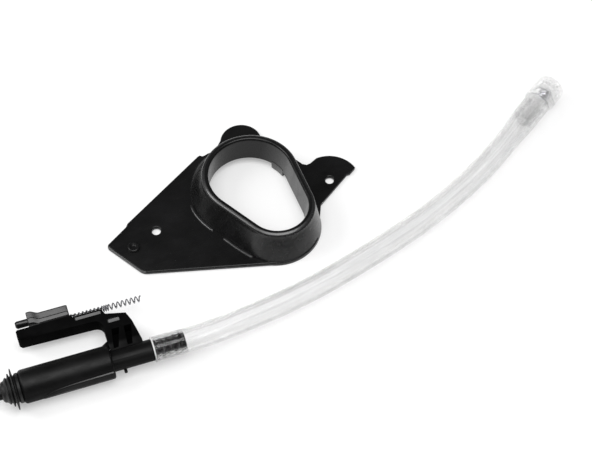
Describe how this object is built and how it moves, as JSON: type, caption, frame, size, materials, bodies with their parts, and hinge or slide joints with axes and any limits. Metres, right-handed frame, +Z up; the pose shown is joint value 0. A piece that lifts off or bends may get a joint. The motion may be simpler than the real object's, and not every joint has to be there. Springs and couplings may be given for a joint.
{
  "type": "siphon bulb pump",
  "caption": "Siphon pump kit: forked head with bellows bulb, spring latch slider and check valves, clear suction hose with foot valve, and a loose plate bracket with an egg-shaped collar",
  "frame": {"origin": "centre of the bracket's left screw hole, on the surface that the kit lies on", "axes": "+X along the pump's axis from the nozzle towards the hose, +Y from the pump towards the bracket, +Z up"},
  "size_m": [0.3451, 0.1374, 0.0208],
  "materials": {
    "body_black": "satin moulded plastic",
    "tail_black": "glossy moulded plastic",
    "nozzle_black": "satin moulded plastic",
    "slider_black": "polished by use",
    "bracket_black": "satin moulded plastic",
    "bulb_rubber": "dull rubber",
    "seal_rubber": "dull rubber",
    "valve_steel": "polished",
    "spring_steel": "drawn wire",
    "hose_clear": "clear soft vinyl",
    "fitting_clear": "clear moulded plastic"
  },
  "bodies": {
    "pump": {"pump_body": "body_black", "hose_tail": "tail_black", "tail_ring": "seal_rubber", "tail_pin": "body_black", "inlet_spring": "spring_steel", "valve_cage": "body_black", "return_spring": "spring_steel", "bulb": "bulb_rubber", "hose": "hose_clear", "foot_valve_body": "fitting_clear", "foot_valve_cap": "fitting_clear"},
    "nozzle": {"nozzle_tip": "nozzle_black", "outlet_seat": "valve_steel", "outlet_spring": "spring_steel"},
    "latch": {"latch_slider": "slider_black", "latch_spring": "spring_steel"},
    "inlet_check": {"inlet_ball": "valve_steel"},
    "outlet_check": {"outlet_ball": "valve_steel"},
    "foot_check": {"foot_valve_ball": "valve_steel"},
    "bracket_set": {"bracket": "bracket_black", "bracket_peg": "bracket_black"}
  },
  "joints": [
    {"name": "latch_slide", "type": "slide", "parent": "pump", "child": "latch", "axis": [1, 0, 0], "range_m": [-0.003, 0.006]},
    {"name": "nozzle_press", "type": "slide", "parent": "pump", "child": "nozzle", "axis": [1, 0, 0], "range_m": [0, 0.0025], "stiffness_N_per_m": 600, "deforming": ["bulb", "return_spring"]},
    {"name": "inlet_valve", "type": "slide", "parent": "pump", "child": "inlet_check", "axis": [-1, 0, 0], "range_m": [0, 0.0012], "stiffness_N_per_m": 30, "deforming": ["inlet_spring"]},
    {"name": "outlet_valve", "type": "slide", "parent": "nozzle", "child": "outlet_check", "axis": [-1, 0, 0], "range_m": [0, 0.001], "stiffness_N_per_m": 30, "deforming": ["outlet_spring"]},
    {"name": "foot_valve", "type": "slide", "parent": "pump", "child": "foot_check", "axis": [0.8192, 0.5736, 0], "range_m": [0, 0.003]},
    {"name": "bracket_lift", "type": "slide", "parent": "pump", "child": "bracket_set", "axis": [0, 0, 1], "range_m": [0, 0.05]}
  ]
}
